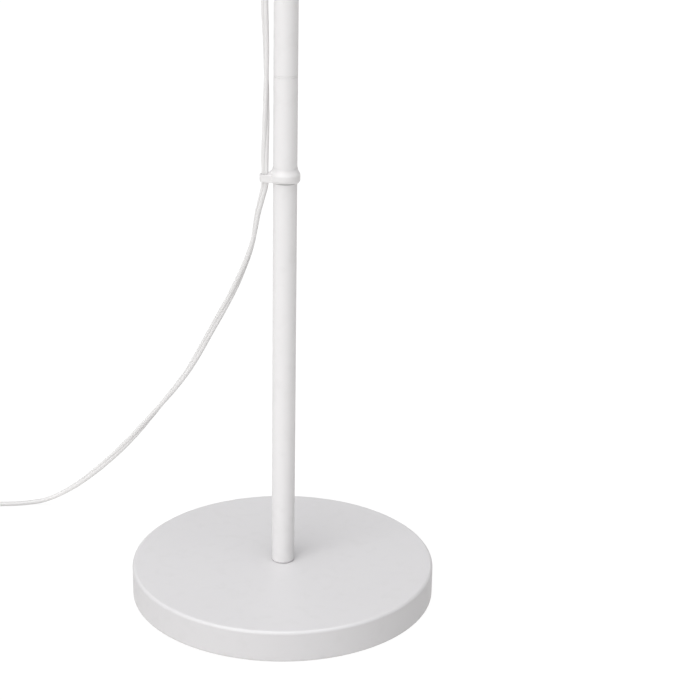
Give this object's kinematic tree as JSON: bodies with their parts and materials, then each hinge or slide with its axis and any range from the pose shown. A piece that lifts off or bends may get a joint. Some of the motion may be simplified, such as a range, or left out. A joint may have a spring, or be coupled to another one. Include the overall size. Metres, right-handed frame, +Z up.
{
  "type": "arc floor lamp",
  "caption": "Floor lamp with a weighted disc base, a straight sectional pole, a turning arc, a tilting dome shade, and a twin cord held beside the pole by clips.",
  "frame": {"origin": "middle of the base's underside, on the pole's axis", "axes": "+Z up along the pole, +X towards the arc's reach, the cord hangs on the -X side"},
  "size_m": [1.1805, 0.3973, 1.8856],
  "materials": {
    "white_coat": "semi-matt white powder coat",
    "white_plastic": "satin moulded plastic",
    "white_flex": "soft white cable sheath",
    "cast_iron": "rough casting",
    "felt": "pressed grey felt",
    "black_plastic": "moulded, matt",
    "zinc_steel": "bright zinc plate",
    "brass": "drawn, bright",
    "opal_glass": "opal, satin"
  },
  "bodies": {
    "stand": {"felt_pad": "felt", "base_plate": "black_plastic", "base_cover": "white_coat", "base_weight": "cast_iron", "centre_bolt": "zinc_steel", "bolt_washer": "zinc_steel", "foot_insert": "zinc_steel", "lower_tube": "white_coat", "coupler_lower": "white_coat", "middle_tube": "white_coat", "coupler_upper": "white_coat", "upper_tube": "white_coat", "cord_outlet": "white_plastic", "outlet_sleeve": "white_plastic", "swivel_bush": "black_plastic", "inner_flex_pole": "white_flex", "cord_upright": "white_flex", "cord_drop": "white_flex", "switch_lower_shell": "white_plastic", "switch_upper_shell": "white_plastic", "switch_block": "black_plastic", "switch_sleeve_in": "white_plastic", "switch_sleeve_out": "white_plastic", "cord_link": "white_flex", "cord_coil": "white_flex", "cord_tie": "black_plastic", "cord_tail": "white_flex", "plug_body": "white_plastic", "plug_sleeve": "white_plastic", "plug_pin_left": "brass", "plug_pin_right": "brass"},
    "clip_lower": {"cord_clip_lower": "white_plastic"},
    "clip_middle": {"cord_clip_middle": "white_plastic"},
    "clip_upper": {"cord_clip_upper": "white_plastic"},
    "arc": {"swivel_spigot": "zinc_steel", "arc_tube_rear": "white_coat", "arc_coupler": "white_coat", "arc_tube_front": "white_coat", "arc_fork": "white_coat", "tilt_nut": "zinc_steel", "inner_flex_arc": "white_flex"},
    "clamp_screw": {"tilt_screw": "black_plastic"},
    "head": {"lamp_stem": "white_coat", "holder_cap": "white_plastic", "holder_shell": "white_plastic", "shade_ring": "white_plastic", "screw_shell": "brass", "centre_contact": "brass", "holder_floor": "white_plastic", "bulb_cap": "brass", "bulb_globe": "opal_glass", "shade": "white_coat"},
    "button": {"switch_button": "white_plastic"}
  },
  "joints": [
    {"name": "arc_swivel", "type": "hinge", "parent": "stand", "child": "arc", "pos_m": [0, 0, 1.5077], "axis": [0, 0, 1], "range_deg": [-170, 170]},
    {"name": "shade_tilt", "type": "hinge", "parent": "arc", "child": "head", "pos_m": [0.65617, 0, 1.613], "axis": [0, 1, 0], "range_deg": [-40, 40]},
    {"name": "clamp_screw_turn", "type": "hinge", "parent": "arc", "child": "clamp_screw", "pos_m": [0.65617, 0, 1.613], "axis": [0, -1, 0], "range_deg": [0, 180]},
    {"name": "clip_lower_slide", "type": "slide", "parent": "stand", "child": "clip_lower", "axis": [0, 0, 1], "range_m": [0, 0.08]},
    {"name": "clip_middle_slide", "type": "slide", "parent": "stand", "child": "clip_middle", "axis": [0, 0, 1], "range_m": [-0.1, 0.08]},
    {"name": "clip_upper_slide", "type": "slide", "parent": "stand", "child": "clip_upper", "axis": [0, 0, 1], "range_m": [-0.1, 0.08]},
    {"name": "button_press", "type": "slide", "parent": "stand", "child": "button", "axis": [0, 0, -1], "range_m": [0, 0.0025], "stiffness_N_per_m": 400}
  ]
}
